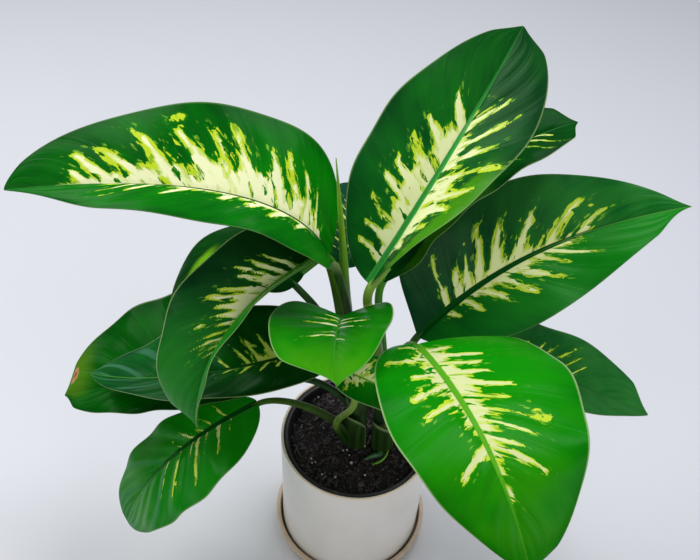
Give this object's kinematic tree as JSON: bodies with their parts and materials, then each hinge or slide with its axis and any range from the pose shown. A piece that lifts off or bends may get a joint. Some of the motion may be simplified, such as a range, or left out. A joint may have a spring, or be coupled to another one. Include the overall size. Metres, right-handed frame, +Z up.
{
  "type": "potted dieffenbachia",
  "caption": "Bushy variegated foliage plant with broad pointed leaves on canes, in a black nursery pot inside a plain white cylinder pot on a beige saucer.",
  "frame": {"origin": "centre of the saucer's underside, on the surface the plant stands on", "axes": "+Z up; +Y away from the pictured side; +X to the right as pictured"},
  "size_m": [0.5238, 0.3448, 0.5051],
  "materials": {
    "saucer_glaze": "beige satin glaze",
    "pot_glaze": "white satin glaze",
    "nursery_plastic": "black moulded plastic",
    "soil": "dark bark and peat mix",
    "stem": "fleshy dark green stem",
    "new_growth": "smooth yellow-green new leaf",
    "leaf": "satin green leaf with cream variegation"
  },
  "bodies": {
    "root": {"saucer": "saucer_glaze", "pot": "pot_glaze", "nursery_pot": "nursery_plastic", "soil": "soil", "cane_main": "stem", "cane_side": "stem", "furled_leaf": "new_growth", "soil_sprout": "new_growth", "leaf_01_upper_left": "leaf", "leaf_02_upper_right": "leaf", "leaf_03_behind_right": "leaf", "leaf_04_right": "leaf", "leaf_05_far_right": "leaf", "leaf_06_front": "leaf", "leaf_07_centre": "leaf", "leaf_08_under_front": "leaf", "leaf_09_left": "leaf", "leaf_10_behind_left": "leaf", "leaf_11_far_left": "leaf", "leaf_12_left_low": "leaf", "leaf_13_lowest_left": "leaf", "leaf_14_back": "leaf"}
  },
  "joints": []
}
